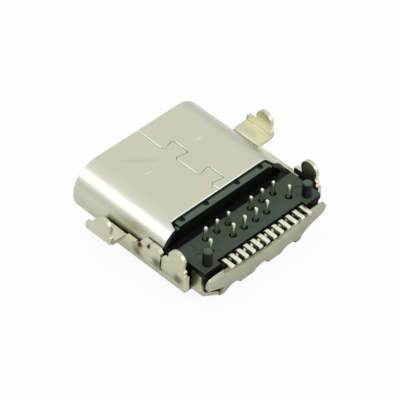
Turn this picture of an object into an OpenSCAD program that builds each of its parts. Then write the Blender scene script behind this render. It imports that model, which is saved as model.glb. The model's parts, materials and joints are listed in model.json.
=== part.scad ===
// Board-mounted USB-C receptacle: rolled shell, saddle cover with four board
// legs, moulded housing, two contact wafers on a latch plate, a tongue rim, two
// ground plates and twenty-four contacts.  The board side faces +Z and the
// mating side faces -Y.

/* [Mating opening] */
// Width of the opening inside the shell
opening_w = 8.34; // [7.8:0.02:10.1]
// Height of the opening inside the shell
opening_h = 2.56; // [2.4:0.02:3.1]
// Depth of the opening, from the mouth to the housing's front wall
opening_depth = 5.4; // [5:0.05:5.6]

/* [Shell] */
// Sheet thickness of the rolled shell
shell_t = 0.3; // [0.24:0.01:0.36]
// Length of the shell along its rounded sides
shell_len = 6.4; // [6.2:0.05:7.7]
// How much shorter the seam side is than the rounded sides
shell_setback = 0.45; // [0.3:0.05:0.55]
// Bevel around the inside of the mouth
mouth_bevel = 0.1; // [0.02:0.01:0.15]
// Width of the seam between the sheet's two rolled ends
seam_gap = 0.02; // [0.02:0.01:0.06]
// Distance of the two seam dovetails behind the mouth
seam_tab_y = [2.36, 4.93]; // [2:0.01:5]
// Reach of each dovetail across the seam
seam_tab_reach = 0.82; // [0.6:0.02:1.2]
// Width of a dovetail at its head
seam_tab_head = 1.14; // [1.1:0.02:1.4]
// Width of a dovetail at its neck
seam_tab_neck = 0.86; // [0.6:0.02:0.9]

/* [Cover] */
// Sheet thickness of the cover and its legs
cover_t = 0.22; // [0.16:0.01:0.27]
// Distance of the cover's front edge behind the mouth
cover_front = 2.4; // [2:0.05:2.6]
// Height of the low wall behind the front legs, above the shell's axis
low_wall_z = 0.34; // [0.2:0.01:0.4]
// Height of the hugging tab on the +X side, above the shell's axis
hug_tab_z = 0.78; // [0.6:0.01:1]
// Length of the hugging tab's level edge
hug_tab_len = 1.04; // [0.8:0.02:1.1]
// Width of the slit behind the hugging tab
hug_tab_slit = 0.1; // [0.06:0.01:0.2]
// Gap between the shell's rounded sides and the cover's side walls
wall_gap = 0.12; // [0.08:0.01:0.14]
// Width of the slits between the cover's flaps
flap_slit = 0.06; // [0.03:0.01:0.08]
// How far the tray behind the saddle stands in from the side walls
tray_jog = 0.62; // [0.58:0.01:0.64]
// Length of the tray behind the saddle
tray_len = 1.34; // [1.3:0.01:1.38]
// Height of the tray's side flaps, above the shell's axis
side_flap_z = 0.5; // [0.2:0.01:0.6]

/* [Legs] */
// Reach of the front legs beyond the cover's side walls
leg_reach = 1.01; // [0.8:0.01:1.3]
// Height of the front flanges' upper face, above the shell's axis
flange_z = 0.46; // [0.42:0.01:0.55]
// Width of the front legs along the shell
front_leg_w = 1.82; // [1.6:0.01:2.05]
// Width of the rear legs along the shell
rear_leg_w = 1.6; // [1.5:0.01:1.7]
// Radius of the legs' rounded heads
leg_head_r = 0.54; // [0.48:0.01:0.6]
// Height of the legs above the shell's axis
leg_top_z = 1.75; // [1.65:0.01:2.1]
// Height of the shoulders beside the heads, above the shell's axis
leg_shoulder_z = 0.8; // [0.75:0.01:0.95]
// Depth of the hooks below the heads
leg_hook = 0.07; // [0:0.01:0.12]

/* [Rear flap] */
// Distance of the flap's foot behind the tails' slot
flap_foot = 0.27; // [0.24:0.01:0.34]
// Lean of the flap outwards from upright, in degrees
flap_lean = 13; // [8:0.5:14]
// Height of the ears' upper edge, above the shell's axis
flap_top_z = 0.6; // [0.4:0.01:0.66]
// Height of the ears' outer lower corners, above the shell's axis
ear_low_z = -0.2; // [-0.4:0.01:-0.1]
// Drop of the ears' lower edge towards the flap's root
ear_drop = 0.66; // [0.4:0.01:0.7]
// Depth of the arc in the flap's upper edge
flap_dip = 0.7; // [0.4:0.01:0.75]
// Chord of the arc in the flap's upper edge
flap_dip_w = 6.1; // [5.6:0.1:6.4]
// Spacing of the relief holes along the flap's bend
relief_pitch = 2; // [1.8:0.05:2.1]
// Radius of the relief holes
relief_r = 0.63; // [0.4:0.01:0.65]

/* [Housing] */
// Height of the board seat above the shell's axis
seat_z = 0.82; // [0.8:0.01:0.95]
// Length of the housing's shoulder behind the shell
shoulder_len = 0.05; // [0.03:0.01:0.12]
// Length of the trench between the shoulder and the seat
trench_len = 0.57; // [0.5:0.01:0.6]
// Depth of the trench below the seat
trench_depth = 0.3; // [0.1:0.01:0.32]
// Radius of the locating posts
post_r = 0.26; // [0.2:0.01:0.28]
// Height of the locating posts above the seat
post_h = 0.93; // [0.7:0.01:1.2]
// Distance of the locating posts from the cover's side walls
post_inset = 1.06; // [1:0.01:1.12]
// Radius of the round mould marks in front of the posts
mark_r = 0.27; // [0.2:0.01:0.3]

/* [Tongue] */
// Width of the tongue
tongue_w = 6.69; // [6.5:0.01:6.9]
// Thickness of the tongue
tongue_h = 0.7; // [0.66:0.01:0.78]
// Distance of the tongue's tip behind the mouth
tongue_tip = 0.6; // [0.5:0.01:0.75]
// Length of the thick collar at the tongue's root
collar_len = 1; // [0.8:0.05:1.2]
// Thickness of the collar
collar_h = 1.1; // [1:0.02:1.3]
// Thickness of the latch plate inside the tongue
plate_t = 0.15; // [0.1:0.01:0.16]
// Thickness of the ground plates on the collar
ground_t = 0.12; // [0.08:0.01:0.15]

/* [Contacts] */
// Spacing of the contacts on the tongue
pitch = 0.5; // [0.49:0.005:0.505]
// Width of a contact
contact_w = 0.25; // [0.2:0.01:0.27]
// Thickness of a contact
contact_t = 0.15; // [0.1:0.01:0.16]
// Width of a through-hole pin
pin_w = 0.2; // [0.16:0.01:0.22]
// Height of the pin tips above the seat
pin_rise = 0.82; // [0.6:0.01:1.2]
// Distance of the front row of pins behind the seat's front edge
pin_margin = 0.43; // [0.4:0.01:0.5]
// Distance between the two rows of pins
pin_row_gap = 0.74; // [0.7:0.01:0.8]
// Places of the pins across the board, from the middle outwards
pin_x = [0.4, 0.8, 1.2, 1.6, 2.4, 2.8]; // [0.4:0.1:2.8]
// Row that each of those pins stands in
pin_row = [2, 1, 2, 1, 1, 2]; // [1:1:2]
// Distance of the tails' slot behind the rear row of pins
slot_margin = 0.69; // [0.66:0.01:0.75]
// Distance from the slot's front wall to the tips of the tails
tail_len = 0.86; // [0.7:0.01:0.95]
// Rise of the tails' upper face above the seat
tail_rise = 0.036; // [0:0.002:0.06]

/* [Hidden] */
$fn = 48;
// Clearance between pieces that are pressed, welded or moulded together
seat_gap = 0.015;
// Clearance around a contact in its channel
channel_gap = 0.015;
// Inner radius of the sheet's tight bends
bend_r = 0.08;
// Inner radius of the bend below the rear flap
foot_bend_r = 0.15;
// Oversize of a cut past the face that it opens
past = 0.1;
// Contacts in each row
row_count = 12;

// Shell
shell_r = opening_h / 2 + shell_t;                 // outer radius of the rounded sides
round_x = (opening_w - opening_h) / 2;             // centres of the rounded sides
flat_rear_y = shell_len - shell_setback;           // rear edge on the seam side
setback_half_w = round_x + 0.46;                   // half of the seam side's rear edge
setback_run = 0.17;                                // width of the slope at each end of it

// Lengthwise places, from the mouth backwards
shoulder_y = shell_len + shoulder_len;             // rear face of the housing's shoulder
seat_front_y = shoulder_y + trench_len;
pin_row_y = [seat_front_y + pin_margin, seat_front_y + pin_margin + pin_row_gap];
slot_y = pin_row_y[1] + slot_margin;               // front wall of the tails' slot
total_len = slot_y + tail_len;
front_leg_rear_y = cover_front + front_leg_w;
wall_rear_y = slot_y - 0.32;                       // rear ends of the side walls
rear_leg_rear_y = wall_rear_y - 0.14;
rear_leg_y = rear_leg_rear_y - rear_leg_w;
hug_tab_rear_y = shell_len + 0.28;
hug_tab_corner = 0.3;
hug_tab_front_y = hug_tab_rear_y - hug_tab_corner - hug_tab_len;
tray_y = wall_rear_y - 0.9;                        // end of the saddle's bottom
side_flap_y = wall_rear_y - 0.25;                  // front ends of the tray's side flaps
tray_rear_y = tray_y + tray_len;
flap_foot_y = slot_y + flap_foot;                  // outer face of the flap's foot
post_y = slot_y - 0.15;

// Cover
cover_in_r = shell_r + seat_gap;
cover_out_r = cover_in_r + cover_t;
wall_in_x = round_x + cover_in_r + wall_gap;       // inner faces of the side walls
wall_out_x = wall_in_x + cover_t;
lift = cover_out_r;                                // shell axis above the resting face
tray_half_w = wall_out_x - tray_jog;
chamfer_z = -0.6;                                  // start of the tray's slopes
chamfer_foot_x = round_x - 0.3;                    // and their feet on the flat bottom
leg_out_x = wall_out_x + leg_reach;
leg_in_x = leg_out_x - cover_t;
foot_out_r = foot_bend_r + cover_t;
foot_y = flap_foot_y - foot_out_r;                 // axis of the flap's bend
foot_z = -cover_out_r + foot_out_r;
flap_half_w = tray_half_w - 0.035;
flap_root_half_w = round_x - 0.05;

// Housing
seat_half_w = wall_in_x - wall_gap - 0.315;
body_half_w = wall_in_x - wall_gap - 0.155;
post_x = wall_in_x - post_inset;
housing_rear_y = slot_y + 0.29;
trench_z = seat_z - trench_depth;
plug_inset = 0.1;                                  // plug's rear end inside the shell's
seat_corner_r = 0.1;
pin_hole_r = pin_w * 0.95;
mark_place = [post_x - 0.04, post_y - 0.57];       // round mould mark
line_x = post_x - 0.32;                            // fine line in the seat beside it
line_w = 0.04;

// Wafers, tongue and contacts
tongue_half_h = tongue_h / 2;
collar_y = opening_depth - collar_len;
contact_in_z = tongue_half_h - contact_t;          // inner faces of the contacts
bed_z = plate_t / 2 + seat_gap;                    // wafer faces next to the latch plate
wafer_half_w = (row_count - 1) / 2 * pitch + contact_w / 2 + 0.1;
wafer_z = tongue_half_h + 0.07;                    // wafer faces inside the housing
wafer_rear_y = slot_y - 0.04;
rail_in_x = wafer_half_w + seat_gap;               // inner faces of the rim's rails
tip_len = 0.4;                                     // solid front end of the tongue's rim
plate_half_w = tongue_w / 2 - 0.14;
peg_r = 0.28;                                      // pegs that join the wafers
tail_top_z = seat_z + tail_rise;
riser_y = slot_y + 0.07;                           // front faces of the tails' risers
jog_y = [opening_depth + 0.3, opening_depth + 0.9];

// ------------------------------------------------------------- helpers

// Moves the connector's own axes (mouth at y = 0, shell axis at z = 0) to the
// part's frame, whose origin is the middle of the resting face.
module in_frame() translate([0, -total_len / 2, lift]) children();

// Extrudes a profile drawn in X and Z from y0 to y1.
module along_y(y0, y1)
    translate([0, y1, 0]) rotate([90, 0, 0]) linear_extrude(y1 - y0) children();

// Extrudes a profile drawn in Y and Z from x0 to x1.
module along_x(x0, x1)
    translate([x0, 0, 0]) rotate([90, 0, 90]) linear_extrude(x1 - x0) children();

// Extrudes a plan drawn in X and Y from z0 to z1.
module between_z(z0, z1) translate([0, 0, z0]) linear_extrude(z1 - z0) children();

// Draws a piece on both sides of the middle plane.
module both_sides() {
    children();
    mirror([1, 0, 0]) children();
}

// A box given by its lowest and highest corners.
module block(low, high) translate(low) cube(high - low);

// A slot-shaped outline with full round ends, centred on the origin.
module stadium(w, h) {
    square([w - h, h], center = true);
    for (side = [-1, 1]) translate([side * (w - h) / 2, 0]) circle(d = h);
}

// A rectangle with rounded corners, given by its lowest and highest corners.
module rounded_rect(low, high, r) {
    translate([low.x + r, low.y]) square([high.x - low.x - 2 * r, high.y - low.y]);
    translate([low.x, low.y + r]) square([high.x - low.x, high.y - low.y - 2 * r]);
    for (x = [low.x + r, high.x - r], y = [low.y + r, high.y - r])
        translate([x, y]) circle(r);
}

// Points on an arc, from angle a0 to angle a1.
function arc_points(centre, r, a0, a1, steps = 4) =
    [for (i = [0:steps])
        let (a = a0 + (a1 - a0) * i / steps) centre + r * [cos(a), sin(a)]];

// The same points on the other side of the middle plane, in reverse order.
function mirrored(points) =
    [for (i = [len(points) - 1:-1:0]) [-points[i].x, points[i].y]];

// Unit normal of a path at its point i.
function path_normal(path, i) =
    let (d = path[min(i + 1, len(path) - 1)] - path[max(i - 1, 0)])
    [-d.y, d.x] / norm(d);

// Outline of a band of the given width along a path.
function band(path, width) = concat(
    [for (i = [0:len(path) - 1]) path[i] + path_normal(path, i) * width / 2],
    [for (i = [len(path) - 1:-1:0]) path[i] - path_normal(path, i) * width / 2]);

// A sheet bend whose axis runs along +Y from y0, between two angles in the
// X-Z plane, where 0 points to +X and 90 to +Z.
module bend_along_y(axis_x, axis_z, y0, width, a0, a1)
    translate([axis_x, y0 + width, axis_z]) rotate([90, 0, 0]) rotate([0, 0, a0])
        rotate_extrude(angle = a1 - a0) translate([bend_r, 0]) square([cover_t, width]);

// --------------------------------------------------------------- shell

// One dovetail of the seam, from its front neck round its head to its rear neck.
function seam_dovetail(y) =
    let (r = 0.1, head = seam_tab_head / 2, neck = seam_tab_neck / 2,
         x = -seam_tab_reach)
    concat([[0, y - neck - 0.12], [-0.12, y - neck]],
        arc_points([x + r, y - head + r], r, 270, 180),
        arc_points([x + r, y + head - r], r, 180, 90),
        [[-0.12, y + neck], [0, y + neck + 0.12]]);

function seam_path() = concat([[0, -past]],
    seam_dovetail(seam_tab_y[0]), seam_dovetail(seam_tab_y[1]),
    [[0, shell_len + past]]);

// The widening of the mouth.
module mouth_cut() {
    along_x(-round_x, round_x) polygon([
        [-past, -opening_h / 2 - mouth_bevel - past],
        [mouth_bevel, -opening_h / 2], [mouth_bevel, opening_h / 2],
        [-past, opening_h / 2 + mouth_bevel + past]]);
    for (side = [-1, 1]) translate([side * round_x, -past, 0]) rotate([-90, 0, 0])
        cylinder(h = mouth_bevel + past, r1 = opening_h / 2 + mouth_bevel + past,
                 r2 = opening_h / 2);
}

module shell() in_frame() color([0.78, 0.79, 0.72]) difference() {
    along_y(0, shell_len) difference() {
        stadium(opening_w + 2 * shell_t, opening_h + 2 * shell_t);
        stadium(opening_w, opening_h);
    }
    mouth_cut();
    between_z(0.45, shell_r + past) polygon([
        [-setback_half_w, flat_rear_y], [setback_half_w, flat_rear_y],
        [setback_half_w + setback_run, shell_len],
        [setback_half_w + setback_run, shell_len + past],
        [-setback_half_w - setback_run, shell_len + past],
        [-setback_half_w - setback_run, shell_len]]);
    between_z(opening_h / 2 - past, shell_r + past) polygon(band(seam_path(), seam_gap));
}

// --------------------------------------------------------------- cover

// Height of a side wall along the shell, as an outline in Y and Z, with a hugging
// tab and the slit behind it where tab_z is above the low wall.
module side_wall_outline(tab_z) {
    low = -cover_out_r - past;
    slit_foot_z = -0.15;
    wall_cut_z = -0.4;
    difference() {
        polygon([
            [cover_front, low], [cover_front, 0], [front_leg_rear_y, 0],
            [front_leg_rear_y, low_wall_z], [hug_tab_front_y - 0.35, low_wall_z],
            [hug_tab_front_y, tab_z], [hug_tab_rear_y - hug_tab_corner, tab_z],
            [hug_tab_rear_y - 0.08, max(tab_z - 0.12, low_wall_z)],
            [hug_tab_rear_y, max(tab_z - hug_tab_corner, low_wall_z)],
            [hug_tab_rear_y, low_wall_z], [rear_leg_y + 0.3, low_wall_z],
            [rear_leg_y + 0.3, 0], [wall_rear_y, 0],
            [wall_rear_y, wall_cut_z], [tray_y, -cover_out_r], [tray_y, low]]);
        if (tab_z > low_wall_z) {
            translate([hug_tab_front_y - 0.38, low_wall_z]) circle(0.09);
            translate([hug_tab_rear_y, slit_foot_z]) square([hug_tab_slit, 1]);
            translate([hug_tab_rear_y + hug_tab_slit, slit_foot_z]) circle(0.09);
        }
    }
}

// Saddle that wraps the shell and the housing's front part.
module saddle() intersection() {
    along_y(cover_front, wall_rear_y) difference() {
        stadium(2 * wall_out_x, 2 * cover_out_r);
        stadium(2 * wall_in_x, 2 * cover_in_r);
    }
    union() {
        along_x(0, wall_out_x + past) side_wall_outline(hug_tab_z);
        along_x(-wall_out_x - past, 0.01) side_wall_outline(low_wall_z);
    }
}

// Outline of a leg in Y and Z: two shoulders, a hooked neck and a round head.
module leg_outline(y0, y1, z0) {
    head_y = y1 - leg_head_r - 0.06;
    head_z = leg_top_z - leg_head_r;
    neck = leg_head_r - leg_hook;
    rounded_rect([y0, leg_shoulder_z - 0.5], [y1, leg_shoulder_z], 0.12);
    translate([y0, z0]) square([y1 - y0, leg_shoulder_z - 0.2 - z0]);
    translate([head_y - neck, z0]) square([2 * neck, head_z - z0]);
    translate([head_y, head_z]) circle(leg_head_r);
}

// Front leg: wall, flange and upright tab, joined by two tight bends.
module front_leg() {
    under_z = flange_z - cover_t;
    flange_end_x = leg_in_x - bend_r;
    block([wall_in_x, cover_front, -0.01],
          [wall_out_x, front_leg_rear_y, under_z - bend_r]);
    bend_along_y(wall_out_x + bend_r, under_z - bend_r, cover_front, front_leg_w, 90, 180);
    block([wall_out_x + bend_r, cover_front, under_z],
          [flange_end_x, front_leg_rear_y, flange_z]);
    bend_along_y(flange_end_x, flange_z + bend_r, cover_front, front_leg_w, 270, 360);
    along_x(leg_in_x, leg_out_x)
        leg_outline(cover_front, front_leg_rear_y, flange_z + bend_r);
}

// Rear leg: it stands up from the side wall, with a relief between its shoulder and
// the wall's rear end.
module rear_leg() along_x(wall_in_x, wall_out_x) difference() {
    union() {
        leg_outline(rear_leg_y, rear_leg_rear_y, -0.01);
        translate([rear_leg_rear_y - 0.3, -0.01])
            square([wall_rear_y - rear_leg_rear_y + 0.3, leg_shoulder_z - 0.25]);
    }
    translate([rear_leg_rear_y + 0.04, leg_shoulder_z - 0.22]) circle(0.1);
}

// Middle line of the tray's sheet, in X and Z, on the +X side.
function tray_path(top_z) =
    let (x = tray_half_w - cover_t / 2, z = -cover_out_r + cover_t / 2)
    concat([[0, z], [chamfer_foot_x, z]],
        arc_points([x - 0.35, chamfer_z], 0.35, -60, 0),
        [[x, top_z]]);

// Tray behind the saddle, with a side flap at each edge.  Its bottom is cut back
// where the rear flap bends up.
module tray() difference() {
    path = tray_path(side_flap_z);
    union() {
        along_y(tray_y, tray_rear_y) polygon(band(concat(mirrored(path), path), cover_t));
        block([-chamfer_foot_x, tray_y - 0.05, -cover_out_r],
              [chamfer_foot_x, tray_y + 0.05, -cover_out_r + cover_t]);
    }
    block([-wall_out_x, tray_y - past, chamfer_z], [wall_out_x, side_flap_y, seat_z]);
    block([-flap_root_half_w - flap_slit, foot_y, -cover_out_r - past],
          [flap_root_half_w + flap_slit, tray_rear_y + past, chamfer_z]);
}

// Outline of the rear flap in X and height above the bend's axis: a root, two
// ears with round upper corners, and an arc cut into the upper edge.
module rear_flap_outline() {
    rise = 1 / cos(flap_lean);
    top = (flap_top_z - foot_z) * rise;
    ear_low = (ear_low_z - foot_z) * rise;
    dip_r = (pow(flap_dip_w / 2, 2) + pow(flap_dip, 2)) / (2 * flap_dip);
    corner_r = 0.32;
    half = [[flap_root_half_w, 0], [flap_root_half_w, ear_low - ear_drop],
            [flap_half_w - 0.12, ear_low - 0.03], [flap_half_w, ear_low + 0.1],
            [flap_half_w, top - corner_r]];
    difference() {
        union() {
            polygon(concat(half, mirrored(half)));
            translate([-flap_half_w + corner_r, top - corner_r - 0.1])
                square([2 * (flap_half_w - corner_r), corner_r + 0.1]);
            for (side = [-1, 1])
                translate([side * (flap_half_w - corner_r), top - corner_r]) circle(corner_r);
        }
        translate([0, top - flap_dip + dip_r]) circle(dip_r, $fn = 96);
    }
}

// Rear flap on its bend, with relief holes across the bend.
module rear_flap() difference() {
    union() {
        translate([-flap_root_half_w, foot_y, foot_z])
            rotate([90, 0, 90]) rotate([0, 0, -90])
                rotate_extrude(angle = 90 - flap_lean)
                    translate([foot_bend_r, 0]) square([cover_t, 2 * flap_root_half_w]);
        translate([0, foot_y, foot_z]) rotate([-flap_lean, 0, 0])
            translate([0, foot_out_r, 0]) rotate([90, 0, 0])
                linear_extrude(cover_t) rear_flap_outline();
        block([-flap_root_half_w, foot_y - 0.2, -cover_out_r],
              [flap_root_half_w, foot_y, -cover_out_r + cover_t]);
    }
    for (x = [-relief_pitch, 0, relief_pitch])
        translate([x, foot_y - 0.1, foot_z - 0.1]) rotate([-135, 0, 0])
            cylinder(h = 1, r = relief_r);
}

module cover() in_frame() color([0.74, 0.74, 0.64]) {
    saddle();
    both_sides() {
        front_leg();
        rear_leg();
    }
    tray();
    rear_flap();
}

// ------------------------------------------------------------- housing

// Place of the rear flap's inner face at a height above the shell's axis.
function flap_inner_y(z) =
    foot_y + foot_bend_r / cos(flap_lean) + (z - foot_z) * tan(flap_lean);

// Place of a contact on the tongue, counted from 0.
function contact_x(i) = (i - (row_count - 1) / 2) * pitch;

// Place across the board, and row, of the pin of a contact.
function pin_index(i) = i < row_count / 2 ? row_count / 2 - 1 - i : i - row_count / 2;
function pin_place(i) =
    [(i < row_count / 2 ? -1 : 1) * pin_x[pin_index(i)], pin_row_y[pin_row[pin_index(i)] - 1]];

// Plug that fills the shell's rear end, with the ledge behind its seam side.
module housing_plug() {
    ledge_half_w = setback_half_w - 0.14;
    ledge_y = flat_rear_y + 0.04;
    ledge_z = shell_r - 0.08;
    step_half_w = setback_half_w + 0.05;
    step_y = flat_rear_y + 0.25;
    step_drop = 0.14;
    notch_x = [1.1, 2.77];
    notch_r = 0.16;
    notch_depth = 0.08;
    along_y(opening_depth, shell_len - plug_inset)
        stadium(opening_w - 2 * seat_gap, opening_h - 2 * seat_gap);
    difference() {
        block([-ledge_half_w, ledge_y, trench_z - past], [ledge_half_w, shoulder_y, ledge_z]);
        both_sides() for (x = notch_x)
            translate([x, ledge_y + 0.15, ledge_z - notch_depth]) cylinder(h = 1, r = notch_r);
    }
    block([-step_half_w, step_y, trench_z - past],
          [step_half_w, shoulder_y, ledge_z - step_drop]);
}

// Block below the board seat, wide in the saddle and narrow in the tray, with a
// seat slab above the side flaps.
module housing_block() {
    path = tray_path(side_flap_z + 0.05);
    tray_fit = [for (i = [0:len(path) - 1])
        path[i] + path_normal(path, i) * (cover_t / 2 + seat_gap)];
    slab_z = side_flap_z + seat_gap;
    module saddle_fit(top_z) {
        intersection() {
            stadium(2 * (wall_in_x - seat_gap), 2 * (cover_in_r - seat_gap));
            translate([-body_half_w, -cover_in_r]) square([2 * body_half_w, cover_in_r]);
        }
        translate([-body_half_w, -0.01]) square([2 * body_half_w, slab_z + 0.01]);
        translate([-seat_half_w, -0.01]) square([2 * seat_half_w, top_z + 0.01]);
    }
    along_y(shell_len + seat_gap, seat_front_y) saddle_fit(trench_z);
    along_y(seat_front_y - 0.01, tray_y - seat_gap) saddle_fit(seat_z);
    difference() {
        along_y(tray_y - 0.05, housing_rear_y)
            polygon(concat(mirrored(tray_fit), tray_fit));
        along_x(-seat_half_w, seat_half_w) polygon([
            [flap_inner_y(seat_z) - seat_gap, seat_z],
            [flap_inner_y(foot_z) - seat_gap, foot_z],
            [foot_y - 0.05, -cover_out_r], [housing_rear_y + 1, -cover_out_r],
            [housing_rear_y + 1, seat_z]]);
    }
    between_z(slab_z, seat_z) rounded_rect(
        [-seat_half_w, seat_front_y + 0.1], [seat_half_w, housing_rear_y], seat_corner_r);
}

module locating_post() translate([post_x, post_y, seat_z - past]) {
    bevel = 0.08;
    straight = post_h + past - bevel;
    cylinder(h = straight, r = post_r);
    translate([0, 0, straight]) cylinder(h = bevel, r1 = post_r, r2 = post_r - bevel);
}

// Slot for the tails: open upwards and to the rear, with a comb between the tails.
module tail_slot() {
    half_w = (row_count - 1) / 2 * pitch + contact_w / 2 + 0.17;
    floor_z = -wafer_z - seat_gap;
    rib_w = pitch - contact_w - 2 * channel_gap;
    difference() {
        block([-half_w, slot_y, floor_z], [half_w, slot_y + 1, seat_z + past]);
        for (i = [0:row_count - 2])
            block([contact_x(i + 0.5) - rib_w / 2, slot_y + 0.03, floor_z - past],
                  [contact_x(i + 0.5) + rib_w / 2, slot_y + 0.27, 0.5]);
    }
}

module housing() in_frame() color([0.12, 0.14, 0.13]) difference() {
    union() {
        housing_plug();
        housing_block();
        both_sides() locating_post();
    }
    block([-wafer_half_w - seat_gap, opening_depth - past, -wafer_z - seat_gap],
          [wafer_half_w + seat_gap, slot_y + past, wafer_z + seat_gap]);
    tail_slot();
    for (i = [0:row_count - 1])
        translate(concat(pin_place(i), 0)) cylinder(h = seat_z + past, r = pin_hole_r);
    both_sides() {
        translate(concat(mark_place, seat_z - 0.04)) cylinder(h = past, r = mark_r);
        block([line_x, seat_front_y + 0.2, seat_z - 0.03],
              [line_x + line_w, post_y - 0.25, seat_z + past]);
    }
}

// ---------------------------------------------- wafers, tongue and plates

// Outline of the latch plate in X and Y; a grown outline is its seat.
module latch_plate_outline(grow) {
    front = tongue_tip + 0.18 - grow;
    side = plate_half_w + grow;
    lug = tongue_w / 2 + (grow > 0 ? past : 0);
    rear_half_w = wafer_half_w - 0.1 + grow;
    half = [[side - 0.3, front], [side, front + 0.3], [side, tongue_tip + 2 - grow],
            [lug, tongue_tip + 2 - grow], [lug, tongue_tip + 3.2 + grow],
            [side, tongue_tip + 3.2 + grow], [side, collar_y - 0.15 + grow],
            [rear_half_w, collar_y - 0.15 + grow], [rear_half_w, wafer_rear_y - 0.4]];
    polygon(concat(half, mirrored(half)));
}

module at_pegs() for (x = [-1.5, 1.5])
    translate([x, opening_depth + 1.9, -bed_z]) children();

module latch_plate() in_frame() color([0.62, 0.63, 0.62]) difference() {
    between_z(-plate_t / 2, plate_t / 2) latch_plate_outline(0);
    at_pegs() cylinder(h = 1, r = peg_r + seat_gap);
}

// Half of the tongue, its collar and the body behind it, on the +Z side.
module wafer_body() {
    front = tongue_tip + tip_len + seat_gap;
    block([-wafer_half_w, front, bed_z], [wafer_half_w, collar_y, tongue_half_h]);
    block([-tongue_w / 2, collar_y, bed_z],
          [tongue_w / 2, opening_depth - seat_gap, collar_h / 2]);
    block([-wafer_half_w, opening_depth - seat_gap, bed_z],
          [wafer_half_w, wafer_rear_y, wafer_z]);
}

// Front end of a contact: ground and power contacts reach furthest forward.
function contact_front_y(i) = tongue_tip + tip_len
    + (i == 0 || i == 3 || i == row_count - 4 || i == row_count - 1 ? 0.06 : 0.2);

// Plan of a pin contact: straight on the tongue, then jogged to its pin.
function pin_contact_path(i) = [
    [contact_x(i), contact_front_y(i)], [contact_x(i), jog_y[0]],
    [pin_place(i).x, jog_y[1]], [pin_place(i).x, pin_place(i).y + contact_t / 2]];

module upper_wafer() in_frame() color([0.13, 0.13, 0.13]) difference() {
    wafer_body();
    for (i = [0:row_count - 1]) {
        path = pin_contact_path(i);
        between_z(contact_in_z - channel_gap, tongue_half_h + channel_gap) {
            polygon(band(path, contact_w + 2 * channel_gap));
            translate([path[0].x - contact_w / 2 - channel_gap, path[0].y - channel_gap])
                square([contact_w + 2 * channel_gap, channel_gap + 0.01]);
            translate([path[3].x - contact_w / 2 - channel_gap, path[3].y - 0.01])
                square([contact_w + 2 * channel_gap, channel_gap + 0.01]);
        }
        translate(concat(pin_place(i), contact_in_z)) cylinder(h = 1, r = pin_hole_r);
    }
}

module lower_wafer() in_frame() color([0.13, 0.13, 0.13]) {
    mirror([0, 0, 1]) difference() {
        wafer_body();
        for (i = [0:row_count - 1])
            block([contact_x(i) - contact_w / 2 - channel_gap,
                   contact_front_y(i) - channel_gap, contact_in_z - channel_gap],
                  [contact_x(i) + contact_w / 2 + channel_gap,
                   wafer_rear_y + past, tongue_half_h + channel_gap]);
    }
    at_pegs() cylinder(h = bed_z + plate_t / 2, r = peg_r);
}

// Rim moulded round the tongue's tip and sides, with rounded nose and corners.
module tongue_rim() in_frame() color([0.15, 0.15, 0.15]) difference() {
    intersection() {
        along_x(-tongue_w / 2, tongue_w / 2) polygon([
            [tongue_tip + 0.14, -tongue_half_h], [tongue_tip, -tongue_half_h + 0.12],
            [tongue_tip, tongue_half_h - 0.12], [tongue_tip + 0.14, tongue_half_h],
            [collar_y - seat_gap, tongue_half_h], [collar_y - seat_gap, -tongue_half_h]]);
        between_z(-tongue_h, tongue_h) {
            half = concat(
                arc_points([tongue_w / 2 - 0.35, tongue_tip + 0.35], 0.35, -90, 0),
                [[tongue_w / 2, collar_y]]);
            polygon(concat(half, mirrored(half)));
        }
    }
    block([-rail_in_x, tongue_tip + tip_len, -tongue_h], [rail_in_x, collar_y, tongue_h]);
    between_z(-bed_z, bed_z) latch_plate_outline(seat_gap);
}

// Ground plate on the collar, with a lip turned down over its front.
module ground_plate() color([0.75, 0.76, 0.74]) {
    half_w = tongue_w / 2 - 0.45;
    low_z = collar_h / 2 + seat_gap;
    lip_y = collar_y - seat_gap;
    block([-half_w, lip_y - ground_t, low_z],
          [half_w, opening_depth - seat_gap, low_z + ground_t]);
    block([-half_w, lip_y - ground_t, tongue_half_h + 0.08],
          [half_w, lip_y, low_z + ground_t]);
}

module upper_ground_plate() in_frame() ground_plate();
module lower_ground_plate() in_frame() mirror([0, 0, 1]) ground_plate();

// ------------------------------------------------------------ contacts

// Contact below the latch plate: it runs back, rises in the slot and ends in a
// flat tail on the board.
module tail_contact(i) in_frame() color([0.85, 0.83, 0.7]) {
    run_z = -(tongue_half_h + contact_in_z) / 2;
    rise_y = riser_y + contact_t / 2;
    tail_z = tail_top_z - contact_t / 2;
    r = 0.12;
    path = concat([[contact_front_y(i), run_z]],
        arc_points([rise_y - r, run_z + r], r, -90, 0),
        arc_points([rise_y + r, tail_z - r], r, 180, 90),
        [[total_len, tail_z]]);
    along_x(contact_x(i) - contact_w / 2, contact_x(i) + contact_w / 2)
        polygon(band(path, contact_t));
}

// Contact above the latch plate: it jogs sideways and turns up into a pin with a
// bevelled tip.
module pin_contact(i) in_frame() color([0.85, 0.83, 0.7]) {
    pin = pin_place(i);
    tip_z = seat_z + pin_rise;
    between_z(contact_in_z, tongue_half_h) polygon(band(pin_contact_path(i), contact_w));
    along_y(pin.y - contact_t / 2, pin.y + contact_t / 2) translate([pin.x, 0]) polygon([
        [-pin_w / 2, contact_in_z], [pin_w / 2, contact_in_z],
        [pin_w / 2, tip_z - 0.1], [pin_w / 4, tip_z],
        [-pin_w / 4, tip_z], [-pin_w / 2, tip_z - 0.1]]);
}

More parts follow.
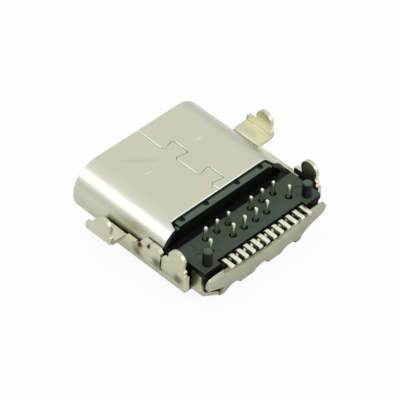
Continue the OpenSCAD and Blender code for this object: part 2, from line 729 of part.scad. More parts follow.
shell();
cover();
housing();
upper_wafer();
lower_wafer();
tongue_rim();
latch_plate();
upper_ground_plate();
lower_ground_plate();
tail_contact(0);  // tail_contact_01
tail_contact(1);  // tail_contact_02
tail_contact(2);  // tail_contact_03
tail_contact(3);  // tail_contact_04
tail_contact(4);  // tail_contact_05
tail_contact(5);  // tail_contact_06
tail_contact(6);  // tail_contact_07
tail_contact(7);  // tail_contact_08
tail_contact(8);  // tail_contact_09
tail_contact(9);  // tail_contact_10
tail_contact(10);  // tail_contact_11
tail_contact(11);  // tail_contact_12
pin_contact(0);  // pin_contact_01
pin_contact(1);  // pin_contact_02
pin_contact(2);  // pin_contact_03
pin_contact(3);  // pin_contact_04
pin_contact(4);  // pin_contact_05
pin_contact(5);  // pin_contact_06
pin_contact(6);  // pin_contact_07
pin_contact(7);  // pin_contact_08
pin_contact(8);  // pin_contact_09
pin_contact(9);  // pin_contact_10
pin_contact(10);  // pin_contact_11
pin_contact(11);  // pin_contact_12
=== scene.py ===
"""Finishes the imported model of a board-mounted socket: rounded edges, plated metal,
moulded plastic and tinned contacts, on a plain stage."""

import json
import math
from contextlib import contextmanager
from functools import reduce

import bpy
from bpy.props import FloatProperty, FloatVectorProperty, PointerProperty
from bpy.types import Operator, Panel, PropertyGroup
from mathutils import Matrix, Vector

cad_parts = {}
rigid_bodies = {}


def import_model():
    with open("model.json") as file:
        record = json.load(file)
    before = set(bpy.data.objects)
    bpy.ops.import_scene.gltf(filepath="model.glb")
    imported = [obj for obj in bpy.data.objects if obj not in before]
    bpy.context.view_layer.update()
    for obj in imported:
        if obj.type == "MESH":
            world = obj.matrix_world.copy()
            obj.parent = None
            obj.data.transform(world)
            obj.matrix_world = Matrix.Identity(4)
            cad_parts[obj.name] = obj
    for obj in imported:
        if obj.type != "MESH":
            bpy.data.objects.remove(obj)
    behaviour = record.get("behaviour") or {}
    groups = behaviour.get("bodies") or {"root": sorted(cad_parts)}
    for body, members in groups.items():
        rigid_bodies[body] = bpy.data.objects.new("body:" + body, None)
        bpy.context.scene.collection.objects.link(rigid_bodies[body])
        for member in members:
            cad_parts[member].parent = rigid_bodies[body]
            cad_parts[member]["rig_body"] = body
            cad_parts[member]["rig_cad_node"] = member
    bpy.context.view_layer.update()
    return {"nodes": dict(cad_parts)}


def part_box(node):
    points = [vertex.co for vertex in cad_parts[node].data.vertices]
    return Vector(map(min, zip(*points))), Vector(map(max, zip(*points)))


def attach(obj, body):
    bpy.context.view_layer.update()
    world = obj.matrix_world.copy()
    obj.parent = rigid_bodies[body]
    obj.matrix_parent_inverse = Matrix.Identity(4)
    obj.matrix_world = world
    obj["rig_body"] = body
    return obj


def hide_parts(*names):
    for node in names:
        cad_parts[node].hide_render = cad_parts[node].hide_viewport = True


bl_info = {
    "name": "Board socket finish",
    "version": (1, 0, 0),
    "blender": (4, 5, 0),
    "location": "3D View > Sidebar > Socket",
    "description": "Gives a board-mounted socket its rounded edges, finishes and stage",
    "category": "Object",
}

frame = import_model()

MM = 0.001
SAME_POINT = 0.0001 * MM
SHELL_LOW, SHELL_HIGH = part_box("shell")
TONGUE_ROOT_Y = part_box("housing")[0].y          # front face of the housing
MOUTH_Y = SHELL_LOW.y                           # front edge of the shell
AXIS_Z = (SHELL_LOW.z + SHELL_HIGH.z) / 2       # middle of the mating opening
SEAT_Z = AXIS_Z + 0.82 * MM                     # face that lies on the board

# Places of small features, in millimetres across (x), along (y) and up (z) from the
# mouth's centre.
SEAM_EDGES = ((0.0, 0.0, 1.75), (-0.82, 1.98, 2.72), (0.0, 3.0, 4.33),
              (-0.82, 4.55, 5.3), (0.0, 5.55, 6.1))   # x, from y, to y
TOOL_MARKS = ((1.8, 2.63), (-1.93, 2.59))             # x, y
SMUDGE = (1.45, 1.75)                                 # x, y
SHELL_REAR = 5.95                                     # y
# Bands of painted shade on the shell beside the cover's edges
COVERED = ((2.4, 4.3, 0.2), (4.2, 5.25, 0.16))        # from y, to y, z, on both sides
TAB_COVERED = (5.2, 6.45, 0.64)                       # the same behind the near side's tab
WELDS = ((5.08, -0.11), (6.47, 0.04), (7.97, 0.02))   # y, z
BURN = (5.2, 0.42)                                    # y, z
BRUISE = (5.8, 0.66)                                  # y, z
# Where painted shade darkens the rear flap
FLAP_START = (8.9, 9.1)                               # from y, to y
FLAP_SHADE = ((-4.6, -3.8), (-3.0, -1.8))              # x, where it sets in and where it ends
# The ledge, whose notches and join with the shell get painted shade
LEDGE = (6.08, 1.46)                                  # y, z
LEDGE_NOTCHES = (-2.77, -1.1, 1.1, 2.77)              # x
LEDGE_NOTCH_Y = 6.14

# Depths of the finest relief
SHEET_GRAIN = 0.0012 * MM
PLASTIC_GRAIN = 0.003 * MM

# Angles below which faces count as one, past which an edge is rounded, and past which
# shading breaks at it
LEVEL_ANGLE = math.radians(0.5)
ROUNDED_ANGLE = math.radians(35)
SHARP_ANGLE = math.radians(32)


def place(x, y, z):
    """A point given in millimetres from the mouth's centre, +Y towards the tails."""
    return Vector((x * MM, MOUTH_Y + y * MM, AXIS_Z + z * MM))


# ---------------------------------------------------------------- settings


class PlatingSettings(PropertyGroup):
    """Sizes and colours of the formed sheet metal."""

    shell_colour: FloatVectorProperty(
        name="Shell colour", description="Colour of the shell's satin plating",
        subtype="COLOR", size=3, min=0, max=1, default=(0.65, 0.665, 0.525))
    cover_colour: FloatVectorProperty(
        name="Cover colour", description="Colour of the cover's warmer plating",
        subtype="COLOR", size=3, min=0, max=1, default=(0.665, 0.66, 0.485))
    stain_colour: FloatVectorProperty(
        name="Stain colour", description="Colour of heat stains and smudges",
        subtype="COLOR", size=3, min=0, max=1, default=(0.17, 0.14, 0.08))
    weld_colour: FloatVectorProperty(
        name="Weld colour", description="Colour of the weld spots",
        subtype="COLOR", size=3, min=0, max=1, default=(0.13, 0.12, 0.07))
    roughness: FloatProperty(
        name="Roughness", description="Roughness of the plating",
        min=0, max=1, default=0.32)
    edge: FloatProperty(
        name="Edge rounding", description="Rounding of the sheet's cut edges",
        unit="LENGTH", min=0, default=0.024 * MM)
    weld_radius: FloatProperty(
        name="Weld radius", description="Radius of a weld spot",
        unit="LENGTH", min=0, default=0.3 * MM)


class MouldingSettings(PropertyGroup):
    """Sizes and colours of the moulded plastic."""

    housing_colour: FloatVectorProperty(
        name="Housing colour", description="Colour of the glass-filled housing",
        subtype="COLOR", size=3, min=0, max=1, default=(0.047, 0.068, 0.046))
    # The wall colour is painted shade: the housing's upright faces are drawn this dark in
    # place of the shade on them.
    wall_shade_colour: FloatVectorProperty(
        name="Wall colour", description="Colour of the housing's polished upright faces",
        subtype="COLOR", size=3, min=0, max=1, default=(0.003, 0.004, 0.003))
    tongue_colour: FloatVectorProperty(
        name="Tongue colour", description="Colour of the tongue's plastic",
        subtype="COLOR", size=3, min=0, max=1, default=(0.018, 0.018, 0.018))
    roughness: FloatProperty(
        name="Roughness", description="Roughness of the moulded faces",
        min=0, max=1, default=0.48)
    edge: FloatProperty(
        name="Edge rounding", description="Rounding of the moulding's edges",
        unit="LENGTH", min=0, default=0.02 * MM)


class ContactSettings(PropertyGroup):
    """Sizes and colours of the contacts and plates."""

    tin_colour: FloatVectorProperty(
        name="Tin colour", description="Colour of the tinned tails and pin tips",
        subtype="COLOR", size=3, min=0, max=1, default=(0.82, 0.85, 0.68))
    shaft_colour: FloatVectorProperty(
        name="Shaft colour", description="Colour of the pins below their tips",
        subtype="COLOR", size=3, min=0, max=1, default=(0.34, 0.37, 0.22))
    gold_colour: FloatVectorProperty(
        name="Gold colour", description="Colour of the gold on the tongue",
        subtype="COLOR", size=3, min=0, max=1, default=(0.83, 0.60, 0.25))
    steel_colour: FloatVectorProperty(
        name="Steel colour", description="Colour of the latch and ground plates",
        subtype="COLOR", size=3, min=0, max=1, default=(0.56, 0.56, 0.54))
    roughness: FloatProperty(
        name="Roughness", description="Roughness of the tin",
        min=0, max=1, default=0.24)
    edge: FloatProperty(
        name="Edge rounding", description="Rounding of a contact's edges",
        unit="LENGTH", min=0, default=0.022 * MM)


class StageSettings(PropertyGroup):
    """Camera and light."""

    azimuth: FloatProperty(
        name="Azimuth", description="Direction that the camera looks from, about +Z",
        subtype="ANGLE", default=math.radians(133.703))
    elevation: FloatProperty(
        name="Elevation", description="Height of the camera above the floor",
        subtype="ANGLE", default=math.radians(44.265))
    roll: FloatProperty(
        name="Roll", description="Turn of the camera about its own axis",
        subtype="ANGLE", default=math.radians(2.296))
    distance: FloatProperty(
        name="Distance", description="Distance of the camera from its target",
        unit="LENGTH", default=146.801 * MM)
    target: FloatVectorProperty(
        name="Target", description="Point that the camera looks at",
        subtype="XYZ", size=3, default=tuple(place(-0.1, 4.577, -0.192)))
    lens: FloatProperty(
        name="Lens", description="Focal length of the camera in millimetres",
        default=259.55)
    sky: FloatProperty(
        name="Sky", description="Strength of the soft light from all round",
        min=0, default=1.0)
    key: FloatProperty(
        name="Key lamp", description="Power of the lamp over the near side, in watts",
        min=0, default=0.1)
    rim: FloatProperty(
        name="Rim lamp", description="Power of the lamp behind the far corner, in watts",
        min=0, default=0.2)


# ---------------------------------------------------------------- shader maths


class Value:
    """A shader socket that stands in a Python expression."""

    def __init__(self, graph, socket):
        self.graph = graph
        self.socket = socket

    def __add__(self, other):
        return self.graph.maths("ADD", self, other)

    def __sub__(self, other):
        return self.graph.maths("SUBTRACT", self, other)

    def __rsub__(self, other):
        return self.graph.maths("SUBTRACT", other, self)

    def __mul__(self, other):
        return self.graph.maths("MULTIPLY", self, other)

    def __truediv__(self, other):
        return self.graph.maths("DIVIDE", self, other)

    def __rtruediv__(self, other):
        return self.graph.maths("DIVIDE", other, self)

    def __pow__(self, other):
        return self.graph.maths("POWER", self, other)

    def __abs__(self):
        return self.graph.maths("ABSOLUTE", self)

    __radd__ = __add__
    __rmul__ = __mul__


class Graph:
    """The node tree of one material."""

    def __init__(self, name):
        self.material = bpy.data.materials.new(name)
        self.material.use_nodes = True
        self.tree = self.material.node_tree
        self.tree.nodes.clear()
        self.place = self.node("TexCoord", output="Object")
        self.x, self.y, self.z = self.axes(self.place)

    def axes(self, vector):
        parts = self.node("SeparateXYZ", inputs={"Vector": vector}, output=None)
        return [Value(self, socket) for socket in parts.outputs]

    def node(self, kind, settings=None, inputs=None, output=0):
        """Adds a node and gives its output, or the node itself when output is None."""
        made = self.tree.nodes.new("ShaderNode" + kind)
        for name, setting in (settings or {}).items():
            setattr(made, name, setting)
        for name, value in (inputs or {}).items():
            if isinstance(value, Value):
                self.tree.links.new(value.socket, made.inputs[name])
            else:
                made.inputs[name].default_value = value
        return made if output is None else Value(self, made.outputs[output])

    def maths(self, operation, first, second=0.0):
        return self.node("Math", {"operation": operation}, {0: first, 1: second})

    def either(self, first, second):
        """The larger of two masks."""
        return self.maths("MAXIMUM", first, second)

    def step(self, value, low, high):
        """0 below low, 1 above high, and smooth between them."""
        settings = {"interpolation_type": "SMOOTHSTEP"}
        inputs = {"Value": value, "From Min": low, "From Max": high}
        return self.node("MapRange", settings, inputs, output="Result")

    def fade(self, value, low, high):
        """1 below low, 0 above high, and smooth between them."""
        return 1 - self.step(value, low, high)

    def band(self, value, low, high, soft):
        """1 between low and high, with soft ends."""
        return (self.step(value, low - soft, low + soft)
                * self.fade(value, high - soft, high + soft))

    def noise(self, scale, detail, stretch=(1.0, 1.0, 1.0)):
        """Noise between 0 and 1, with its features along an axis lengthened by stretch."""
        squeeze = tuple(1 / amount for amount in stretch)
        spot = self.node("Mapping", inputs={"Vector": self.place, "Scale": squeeze})
        inputs = {"Vector": spot, "Scale": scale, "Detail": detail}
        return self.node("TexNoise", inputs=inputs, output="Fac")

    def wobble(self, amount):
        """A small shift of place that makes the outline of a stain uneven."""
        return (self.noise(2600, 3) - 0.5) * amount

    def facing_up(self):
        """The upward part of the surface's direction, 1 on a level face."""
        return self.axes(self.node("TexCoord", output="Normal"))[2]

    def mix(self, amount, first, second):
        """A colour between first, at 0, and second, at 1."""
        inputs = {"Factor": amount, 6: first, 7: second}
        return self.node("Mix", {"data_type": "RGBA"}, inputs, output=2)

    def bump(self, height, distance):
        return self.node("Bump", inputs={"Height": height, "Distance": distance})

    def spot(self, first, second, centre, radii, soft=0.35):
        """1 inside an ellipse in the plane of two axes, fading to 0 outside."""
        across = (first - centre[0]) / radii[0]
        along = (second - centre[1]) / radii[1]
        return self.fade((across * across + along * along) ** 0.5, 1 - soft, 1 + soft)

    def leaning_spot(self, across, centre, lean, radii):
        """A spot on the shell's top whose long side leans backwards by lean."""
        level = (centre.x, centre.y + centre.x * lean)
        return self.spot(across, self.y + self.x * lean, level, radii)

    def stripe(self, middle, half_width, start, end, soft):
        """1 on a straight stripe along Y, fading to 0 at its sides and ends."""
        side = abs(self.x - middle)
        inside = self.fade(side, half_width - soft, half_width + soft)
        return inside * self.band(self.y, start, end, soft)

    def surface(self, colour, roughness, metallic, normal, **constants):
        inputs = {"Base Color": colour, "Roughness": roughness,
                  "Metallic": metallic, "Normal": normal, **constants}
        shader = self.node("BsdfPrincipled", inputs=inputs)
        self.node("OutputMaterial", inputs={"Surface": shader}, output=None)
        return self.material


def set_stops(ramp, stops):
    """Gives a colour ramp its stops, each a position and a grey or a colour."""
    while len(ramp.elements) < len(stops):
        ramp.elements.new(1.0)
    for element, (position, colour) in zip(ramp.elements, stops):
        element.position = position
        element.color = rgba(colour)


def rgba(colour):
    if isinstance(colour, (int, float)):
        colour = (colour, colour, colour)
    return (*colour[:3], 1.0)


def tone(colour, amount):
    """The colour made lighter or darker by an amount."""
    return rgba([min(1.0, channel * amount) for channel in colour])


# ---------------------------------------------------------------- materials


LACQUER = {"Coat Weight": 0.4, "Coat Roughness": 0.3}
STEEL_ROUGHNESS = 0.34

PAINTED_HIGHLIGHT = (0.98, 0.98, 0.92, 1)      # painted highlight on edges and tool marks
HIGHLIGHT_TINT = (0.7, 0.68, 0.64, 1)         # painted highlight tint on the shell's rolled sides
GAP_SHADE = (0.035, 0.025, 0.015, 1)       # painted shade in the gaps beside the cover
SCORCH = (0.36, 0.15, 0.03, 1)         # orange rim of the burn
CHAR = (0.08, 0.03, 0.004, 1)          # middle of the burn
DARK_BRUISE = (0.03, 0.03, 0.045, 1)


def rolled_sheet(graph, colour, roughness):
    """Colour, roughness and height of plated sheet: soft clouding, a fine rolled grain
    and a few hair scratches."""
    clouds = graph.noise(420, 3)
    grain = graph.noise(26000, 2, stretch=(1.0, 14.0, 1.0))
    specks = graph.noise(60000, 1)
    streaks = graph.noise(5200, 2, stretch=(1.0, 22.0, 1.0))
    scratch = graph.step(streaks, 0.70, 0.76)
    shade = graph.mix(clouds, tone(colour, 0.95), tone(colour, 1.05))
    shade = graph.mix(scratch * 0.25, shade, tone(colour, 1.15))
    rough = roughness - 0.05 + clouds * 0.1 + specks * 0.05
    height = grain * 0.5 + specks * 0.3 - scratch * 0.6
    return shade, rough, height


def near_side(graph):
    """1 on the +X half of the object."""
    return graph.step(graph.x, 0.0, MM)


def seam_highlight(graph):
    """1 along the painted highlight on the seam's rounded edges, just beside the joint."""
    stripes = []
    for x, start_y, end_y in SEAM_EDGES:
        start, end = place(x - 0.045, start_y, 0), place(x, end_y, 0)
        stripes.append(graph.stripe(start.x, 0.035 * MM, start.y, end.y, 0.02 * MM))
    return sum(stripes)


def tool_marks(graph):
    """1 on the two dents that the forming tool left."""
    return sum(graph.leaning_spot(graph.x, place(x, y, 0), 0.1, (0.26 * MM, 0.05 * MM))
               for x, y in TOOL_MARKS)


def smudge(graph):
    """1 on a faint uneven stain across the shell's top."""
    across = graph.x + graph.wobble(0.4 * MM)
    return graph.leaning_spot(across, place(*SMUDGE, 0), 0.85, (0.75 * MM, 0.14 * MM))


def rear_edge_highlight(graph):
    """1 on the painted highlight, a thin bright line along the rear edge of the shell's seam
    side.
    """
    rear = place(0, SHELL_REAR, 0).y
    line = graph.step(graph.y, rear - 0.09 * MM, rear - 0.05 * MM)
    line = line * graph.fade(graph.y, rear, rear + 0.01 * MM)
    return line * graph.step(graph.z, SHELL_HIGH.z - 0.05 * MM, SHELL_HIGH.z - 0.02 * MM)


def covered_gap(graph, start_y, end_y, z):
    """1 on the shell's side below the cover's edge."""
    low, high = place(0, start_y, z - 0.03), place(0, end_y, z + 0.07)
    below = graph.fade(graph.z, low.z, high.z)
    return below * graph.band(graph.y, low.y, high.y, 0.05 * MM)


def covered_gaps(graph):
    """1 outside on the shell where the cover hides it, where the painted shade goes."""
    gaps = [covered_gap(graph, *gap) for gap in COVERED]
    gaps.append(covered_gap(graph, *TAB_COVERED) * near_side(graph))
    outside = graph.step(abs(graph.x), SHELL_HIGH.x - 0.29 * MM, SHELL_HIGH.x - 0.23 * MM)
    return reduce(graph.either, gaps) * outside


def shell_plating(settings):
    """Satin plating with two tool marks and a faint smudge, painted highlights on the marks,
    the seam's edges and the rear edge, a paler painted highlight tint on the rolled sides
    and painted shade in the gaps beside the cover."""
    graph = Graph("shell plating")
    shade, rough, height = rolled_sheet(graph, settings.shell_colour, settings.roughness)
    top = graph.step(graph.z, AXIS_Z, SHELL_HIGH.z)
    marks = tool_marks(graph) * top
    facing = graph.facing_up()
    # Painted highlight: the rolled sides, tilted between level and upright, are tinted paler
    # and whiter where the lamp's highlight falls.
    rolled = graph.step(facing, 0.3, 0.6) * graph.fade(facing, 0.88, 0.98)
    shade = graph.mix(smudge(graph) * top * 0.12, shade, rgba(settings.stain_colour))
    shade = graph.mix(rolled * 0.65, shade, HIGHLIGHT_TINT)
    # Painted highlights: the tool marks, the seam's edges and the rear edge are mixed
    # towards a bright colour.
    shade = graph.mix(marks * 0.45, shade, PAINTED_HIGHLIGHT)
    shade = graph.mix(seam_highlight(graph) * top * 0.85, shade, PAINTED_HIGHLIGHT)
    shade = graph.mix(rear_edge_highlight(graph) * 0.9, shade, PAINTED_HIGHLIGHT)
    # Painted shade darkens the shell in the gaps beside the cover.
    shade = graph.mix(covered_gaps(graph) * 0.92, shade, GAP_SHADE)
    normal = graph.bump(height + marks * 6, SHEET_GRAIN)
    return graph.surface(shade, rough, 1.0, normal, **LACQUER)


def flap_shade(graph):
    """How much painted shade darkens the rear flap, most near its far end."""
    start, end = (place(0, y, 0).y for y in FLAP_START)
    rise, fall = ([x * MM for x in pair] for pair in FLAP_SHADE)
    far = graph.step(graph.x, *rise) * graph.fade(graph.x, *fall)
    return graph.step(graph.y, start, end) * (far * 0.45 + 0.5)


def cover_plating(settings):
    """The same plating, warmer, with weld spots on both side walls, a burn and a bruise
    on the near one, and painted shade darkening the rear flap."""
    graph = Graph("cover plating")
    shade, rough, height = rolled_sheet(graph, settings.cover_colour, settings.roughness)
    wobble = graph.wobble(0.3 * MM)
    along, up = graph.y + wobble, graph.z + wobble
    near = near_side(graph)

    def stain(y, z, radii, soft=0.35):
        """A spot with an uneven outline on the side walls."""
        return graph.spot(along, up, place(0, y, z).yz, radii, soft)

    def weld_spots(size, soft):
        """All weld spots, at a share of their radius."""
        radius = settings.weld_radius * size
        return sum(stain(y, z, (radius, radius), soft) for y, z in WELDS)

    welds = weld_spots(0.75, 0.5)
    burn = stain(*BURN, (0.14 * MM, 0.12 * MM))
    scorch = stain(*BURN, (0.24 * MM, 0.2 * MM), 0.5) * near
    bruise = stain(*BRUISE, (0.12 * MM, 0.12 * MM)) * near
    shade = graph.mix(weld_spots(1.2, 0.6) * 0.5, shade, rgba(settings.stain_colour))
    shade = graph.mix(welds * 0.7, shade, rgba(settings.weld_colour))
    shade = graph.mix(scorch * 0.8, shade, SCORCH)
    shade = graph.mix(burn * near, shade, CHAR)
    # Painted shade: the rear flap is darkened in place of its darker reflection.
    shade = graph.mix(flap_shade(graph), shade, tone(settings.cover_colour, 0.62))
    shade = graph.mix(bruise * 0.95, shade, DARK_BRUISE)
    rough = rough + welds * 0.15 + burn * 0.2
    normal = graph.bump(height - welds * 3 - bruise * 6, SHEET_GRAIN)
    return graph.surface(shade, rough, 1.0, normal, **LACQUER)


def glass_filled(name, colour, wall_shade_colour, roughness, groove_shade=None):
    """Moulded plastic with a fine fibre grain and flow marks: a paler painted sheen where it
    faces the board, lighter on the raised ledge, and painted shade on its upright faces and
    grooves."""
    graph = Graph(name)
    # Painted light: faces turned up get a paler painted sheen, and upright faces and grooves
    # get painted shade.
    level = graph.step(graph.facing_up(), 0.35, 0.9)
    if groove_shade:
        level = level * (1 - groove_shade(graph))
    flow = graph.noise(900, 3, stretch=(3.0, 1.0, 1.0))
    fibre = graph.noise(24000, 2)
    pits = graph.noise(70000, 1)
    broad = graph.noise(320, 1)
    ledge = graph.step(graph.z, SEAT_Z + 0.3 * MM, SEAT_Z + 0.4 * MM)
    lit_top = graph.mix(flow * 0.5 + broad * 0.5, tone(colour, 0.5), tone(colour, 1.6))
    lit_top = graph.mix(ledge * 0.6, lit_top, tone(colour, 2.2))
    lit_top = graph.mix(graph.step(fibre, 0.55, 0.75) * 0.6, lit_top, tone(colour, 2.0))
    wall = graph.mix(flow, tone(wall_shade_colour, 0.7), tone(wall_shade_colour, 1.4))
    shade = graph.mix(level, wall, lit_top)
    rough = roughness - 0.06 + flow * 0.08 + pits * 0.08
    normal = graph.bump(fibre * 0.7 + pits * 0.3, PLASTIC_GRAIN)
    return graph.surface(shade, rough, 0.0, normal, **{"Specular IOR Level": 0.2})


def housing_grooves(graph):
    """1 in the trench, in the ledge's notches and where the ledge meets the shell, where
    painted shade darkens the plastic.
    """
    ledge = place(0, *LEDGE)
    trench = graph.fade(graph.z, SEAT_Z - 0.2 * MM, SEAT_Z - 0.1 * MM)
    join = graph.fade(graph.y, ledge.y - 0.03 * MM, ledge.y + 0.03 * MM)
    below = graph.fade(graph.z, ledge.z - 0.02 * MM, ledge.z + 0.02 * MM)
    grooves = [trench, join]
    for x in LEDGE_NOTCHES:
        notch = graph.spot(graph.x, graph.y, place(x, LEDGE_NOTCH_Y, 0).xy,
                           (0.19 * MM, 0.19 * MM), soft=0.1)
        grooves.append(notch * below)
    return reduce(graph.either, grooves)


def plated_contact(settings, change_y):
    """Gold in front of change_y, on the tongue, and tin behind it, darker and more olive on
    the pins' shafts."""
    graph = Graph("plated contact")
    clouds = graph.noise(2600, 2)
    grain = graph.noise(40000, 1, stretch=(1.0, 6.0, 1.0))
    edge = graph.y + (clouds - 0.5) * (0.2 * MM)
    tinned = graph.step(edge, change_y - 0.05 * MM, change_y + 0.05 * MM)
    tin, gold = settings.tin_colour, settings.gold_colour
    tin = graph.mix(clouds, tone(tin, 0.93), tone(tin, 1.04))
    gold = graph.mix(clouds, tone(gold, 0.95), tone(gold, 1.05))
    shaft = graph.step(graph.z, SEAT_Z + 0.05 * MM, SEAT_Z + 0.1 * MM)
    shaft = shaft * graph.fade(graph.z, SEAT_Z + 0.5 * MM, SEAT_Z + 0.75 * MM)
    tin = graph.mix(shaft * 0.8, tin, rgba(settings.shaft_colour))
    shade = graph.mix(tinned, gold, tin)
    rough = settings.roughness + tinned * 0.04 + clouds * 0.06
    normal = graph.bump(grain * 0.6 + clouds * 0.4, SHEET_GRAIN)
    return graph.surface(shade, rough, 1.0, normal)


def stamped_steel(settings):
    """Bare stamped plate with a fine rolled grain."""
    graph = Graph("stamped steel")
    shade, rough, height = rolled_sheet(graph, settings.steel_colour, STEEL_ROUGHNESS)
    return graph.surface(shade, rough, 1.0, graph.bump(height, SHEET_GRAIN))


# ---------------------------------------------------------------- pieces


def pick_only(piece):
    bpy.ops.object.select_all(action="DESELECT")
    piece.select_set(True)
    bpy.context.view_layer.objects.active = piece


def apply_modifier(piece, name, kind, **settings):
    modifier = piece.modifiers.new(name, kind)
    for setting, value in settings.items():
        setattr(modifier, setting, value)
    pick_only(piece)
    bpy.ops.object.modifier_apply(modifier=modifier.name)


@contextmanager
def editing(piece):
    """Edit mode on one piece, with all of it selected."""
    pick_only(piece)
    bpy.ops.object.mode_set(mode="EDIT")
    bpy.ops.mesh.select_all(action="SELECT")
    yield
    bpy.ops.object.mode_set(mode="OBJECT")


def join_points(drop_slivers):
    """Merges points that lie on each other and, where asked, drops faces of no area."""
    bpy.ops.mesh.remove_doubles(threshold=SAME_POINT)
    if drop_slivers:
        bpy.ops.mesh.dissolve_degenerate(threshold=SAME_POINT)


def finished_copy(node, name, material, edge, clamp=False):
    """Joins up a copy of a CAD piece, rounds its sharp edges and shows it instead. With
    clamp, the rounding stays within the shortest edge and leaves no slivers."""
    piece = frame["nodes"][node].copy()
    piece.data = piece.data.copy()
    piece.name = piece.data.name = name
    piece.parent = None
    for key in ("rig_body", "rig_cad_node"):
        del piece[key]
    bpy.context.scene.collection.objects.link(piece)
    with editing(piece):
        join_points(drop_slivers=clamp)
    # Edit mode is entered afresh, because a dissolve right after the join picks other
    # edges, which leaves a rougher mesh.
    with editing(piece):
        bpy.ops.mesh.dissolve_limited(angle_limit=LEVEL_ANGLE)
    apply_modifier(piece, "edge rounding", "BEVEL", width=edge, segments=2,
                   limit_method="ANGLE", angle_limit=ROUNDED_ANGLE,
                   miter_outer="MITER_ARC", use_clamp_overlap=clamp)
    with editing(piece):
        join_points(drop_slivers=clamp)
    bpy.ops.object.shade_smooth_by_angle(angle=SHARP_ANGLE)
    apply_modifier(piece, "level faces", "WEIGHTED_NORMAL", weight=80, keep_sharp=True)
    piece.data.materials.clear()
    piece.data.materials.append(material)
    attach(piece, "root")
    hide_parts(node)
    return piece


def roll_normals(piece):
    """Gives the inside and outside of the shell the exact normals of its rolled form, so
    that light runs evenly along the rounded sides."""
    mesh = piece.data
    round_x = SHELL_HIGH.x - (SHELL_HIGH.z - SHELL_LOW.z) / 2
    same = math.cos(math.radians(12))

    def outward(point):
        across = math.copysign(max(abs(point.x) - round_x, 0), point.x)
        return Vector((across, 0, point.z - AXIS_Z)).normalized()

    normals = [corner.vector.copy() for corner in mesh.corner_normals]
    for face in mesh.polygons:
        side = face.normal.dot(outward(face.center))
        if abs(side) > same:
            for corner in face.loop_indices:
                point = mesh.vertices[mesh.loops[corner].vertex_index].co
                normals[corner] = outward(point) * math.copysign(1, side)
    mesh.normals_split_custom_set(normals)


class SOCKET_OT_shell(Operator):
    """Finish the rolled shell"""

    bl_idname = "socket.shell"
    bl_label = "Shell"

    def execute(self, context):
        settings = context.scene.socket_plating
        piece = finished_copy("shell", "shell_sheet",
                              shell_plating(settings), settings.edge)
        roll_normals(piece)
        return {"FINISHED"}


class SOCKET_OT_cover(Operator):
    """Finish the saddle cover with its legs and rear flap"""

    bl_idname = "socket.cover"
    bl_label = "Cover"

    def execute(self, context):
        settings = context.scene.socket_plating
        finished_copy("cover", "cover_sheet", cover_plating(settings),
                      settings.edge, clamp=True)
        return {"FINISHED"}


class SOCKET_OT_housing(Operator):
    """Finish the moulded housing"""

    bl_idname = "socket.housing"
    bl_label = "Housing"

    def execute(self, context):
        settings = context.scene.socket_moulding
        material = glass_filled("housing plastic", settings.housing_colour,
                                settings.wall_shade_colour, settings.roughness,
                                housing_grooves)
        finished_copy("housing", "housing_moulding", material,
                      settings.edge)
        return {"FINISHED"}


class SOCKET_OT_tongue(Operator):
    """Finish the wafers and the rim that make the tongue"""

    bl_idname = "socket.tongue"
    bl_label = "Tongue"

    def execute(self, context):
        settings = context.scene.socket_moulding
        material = glass_filled("tongue plastic", settings.tongue_colour,
                                settings.tongue_colour, settings.roughness)
        for node, slot in (("upper_wafer", "wafer_plastic"),
                           ("lower_wafer", "wafer_plastic"),
                           ("tongue_rim", "rim_plastic")):
            finished_copy(node, node + "_moulding", material, settings.edge / 2)
        return {"FINISHED"}


class SOCKET_OT_plates(Operator):
    """Finish the latch plate and the two ground plates"""

    bl_idname = "socket.plates"
    bl_label = "Plates"

    def execute(self, context):
        settings = context.scene.socket_contact
        material = stamped_steel(settings)
        for node, slot in (("latch_plate", "latch_metal"),
                           ("upper_ground_plate", "ground_metal"),
                           ("lower_ground_plate", "ground_metal")):
            finished_copy(node, node + "_stamping", material, settings.edge / 2)
        return {"FINISHED"}


class SOCKET_OT_contacts(Operator):
    """Finish both rows of contacts"""

    bl_idname = "socket.contacts"
    bl_label = "Contacts"

    def execute(self, context):
        settings = context.scene.socket_contact
        material = plated_contact(settings, TONGUE_ROOT_Y)
        for node in sorted(frame["nodes"]):
            if "_contact_" in node:
                finished_copy(node, node + "_strip", material,
                              settings.edge)
        return {"FINISHED"}


# ---------------------------------------------------------------- stage


def direction(azimuth, elevation):
    """Unit vector towards a viewer at that azimuth and elevation."""
    return Vector((math.sin(azimuth) * math.cos(elevation),
                   -math.cos(azimuth) * math.cos(elevation), math.sin(elevation)))


def aim(thing, spot, target, roll=0.0):
    """Puts a camera or a lamp at a spot, facing the target."""
    back = (spot - target).normalized()
    level = Vector((-back.y, back.x, 0)).normalized()
    rise = back.cross(level)
    right = math.cos(roll) * level + math.sin(roll) * rise
    up = math.cos(roll) * rise - math.sin(roll) * level
    turn = Matrix((right, up, back)).transposed().to_4x4()
    thing.matrix_world = Matrix.Translation(spot) @ turn


def add_lamp(name, azimuth, elevation, distance, size, power, target):
    """A square area lamp in a direction given in degrees, facing the target."""
    lamp = bpy.data.lights.new(name, "AREA")
    lamp.shape = "SQUARE"
    lamp.size = size
    lamp.energy = power
    holder = bpy.data.objects.new(name, lamp)
    bpy.context.scene.collection.objects.link(holder)
    way = direction(math.radians(azimuth), math.radians(elevation))
    aim(holder, target + way * distance, target)


def paper_white():
    """Pale floor that shows white to the camera and still takes a little of the
    object's shadow."""
    graph = Graph("paper white")
    rays = graph.node("LightPath", output=None)
    seen = Value(graph, rays.outputs["Is Camera Ray"])
    glow = graph.node("Emission", inputs={"Color": (1, 1, 1, 1), "Strength": 1.0})
    paper = graph.node("BsdfDiffuse", inputs={"Color": (0.86, 0.86, 0.86, 1)})
    mixed = graph.node("MixShader", inputs={0: seen * 0.92, 1: paper, 2: glow})
    graph.node("OutputMaterial", inputs={"Surface": mixed}, output=None)
    return graph.material


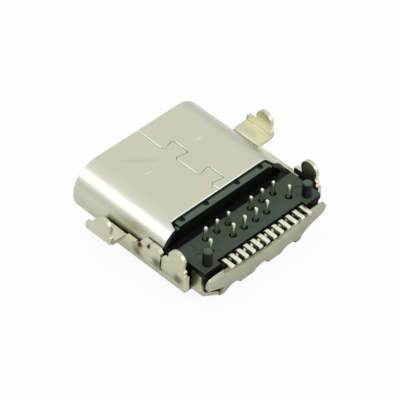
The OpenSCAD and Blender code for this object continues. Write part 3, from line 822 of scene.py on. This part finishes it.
def soft_sky(strength):
    """World light that is brightest overhead, and white where the camera sees it."""
    world = bpy.data.worlds.new("soft sky")
    world.use_nodes = True
    tree = world.node_tree
    tree.nodes.clear()
    coordinates = tree.nodes.new("ShaderNodeTexCoord")
    axes = tree.nodes.new("ShaderNodeSeparateXYZ")
    ramp = tree.nodes.new("ShaderNodeValToRGB")
    set_stops(ramp.color_ramp, ((0.0, 0.55), (0.35, 0.8), (1.0, 1.0)))
    sky = tree.nodes.new("ShaderNodeBackground")
    sky.inputs["Strength"].default_value = strength
    white = tree.nodes.new("ShaderNodeBackground")
    white.inputs["Color"].default_value = (1, 1, 1, 1)
    rays = tree.nodes.new("ShaderNodeLightPath")
    mixed = tree.nodes.new("ShaderNodeMixShader")
    output = tree.nodes.new("ShaderNodeOutputWorld")
    tree.links.new(coordinates.outputs["Generated"], axes.inputs[0])
    tree.links.new(axes.outputs["Z"], ramp.inputs["Fac"])
    tree.links.new(ramp.outputs["Color"], sky.inputs["Color"])
    tree.links.new(rays.outputs["Is Camera Ray"], mixed.inputs[0])
    tree.links.new(sky.outputs[0], mixed.inputs[1])
    tree.links.new(white.outputs[0], mixed.inputs[2])
    tree.links.new(mixed.outputs[0], output.inputs["Surface"])
    bpy.context.scene.world = world


class SOCKET_OT_stage(Operator):
    """Add the floor, the lamps and the camera"""

    bl_idname = "socket.stage"
    bl_label = "Stage"

    def execute(self, context):
        settings = context.scene.socket_stage
        target = Vector(settings.target)
        bpy.ops.object.select_all(action="DESELECT")
        bpy.ops.mesh.primitive_plane_add(size=1.2, location=(0, 0, -0.002 * MM))
        floor = context.object
        floor.name = "floor"
        floor.data.materials.append(paper_white())
        soft_sky(settings.sky)
        add_lamp("key lamp", 51, 38, 0.30, 0.12, settings.key, target)
        add_lamp("rim lamp", 217, 30, 0.35, 0.20, settings.rim, target)
        camera = bpy.data.objects.new("camera", bpy.data.cameras.new("camera"))
        context.scene.collection.objects.link(camera)
        camera.data.sensor_width = 36.0
        camera.data.lens = settings.lens
        camera.data.clip_start = 0.001
        camera.data.clip_end = 10.0
        way = direction(settings.azimuth, settings.elevation)
        aim(camera, target + way * settings.distance, target, settings.roll)
        context.scene.camera = camera
        context.scene.view_settings.view_transform = "Standard"
        return {"FINISHED"}


# ---------------------------------------------------------------- add-on


STEPS = (SOCKET_OT_shell, SOCKET_OT_cover, SOCKET_OT_housing, SOCKET_OT_tongue,
         SOCKET_OT_plates, SOCKET_OT_contacts, SOCKET_OT_stage)

GROUPS = (("socket_plating", PlatingSettings), ("socket_moulding", MouldingSettings),
          ("socket_contact", ContactSettings), ("socket_stage", StageSettings))


class SOCKET_PT_finish(Panel):
    """Lists the settings and the steps that finish the socket"""

    bl_label = "Socket finish"
    bl_space_type = "VIEW_3D"
    bl_region_type = "UI"
    bl_category = "Socket"

    def draw(self, context):
        for name, group in GROUPS:
            box = self.layout.box()
            for setting in group.__annotations__:
                box.prop(getattr(context.scene, name), setting)
        for step in STEPS:
            self.layout.operator(step.bl_idname)


CLASSES = (*(group for _, group in GROUPS), *STEPS, SOCKET_PT_finish)


def register():
    for cls in CLASSES:
        bpy.utils.register_class(cls)
    for name, group in GROUPS:
        setattr(bpy.types.Scene, name, PointerProperty(type=group))


def unregister():
    for name, _ in GROUPS:
        delattr(bpy.types.Scene, name)
    for cls in reversed(CLASSES):
        bpy.utils.unregister_class(cls)


def main():
    register()
    for step in STEPS:
        group, name = step.bl_idname.split(".")
        getattr(getattr(bpy.ops, group), name)()


if __name__ == "__main__":
    main()
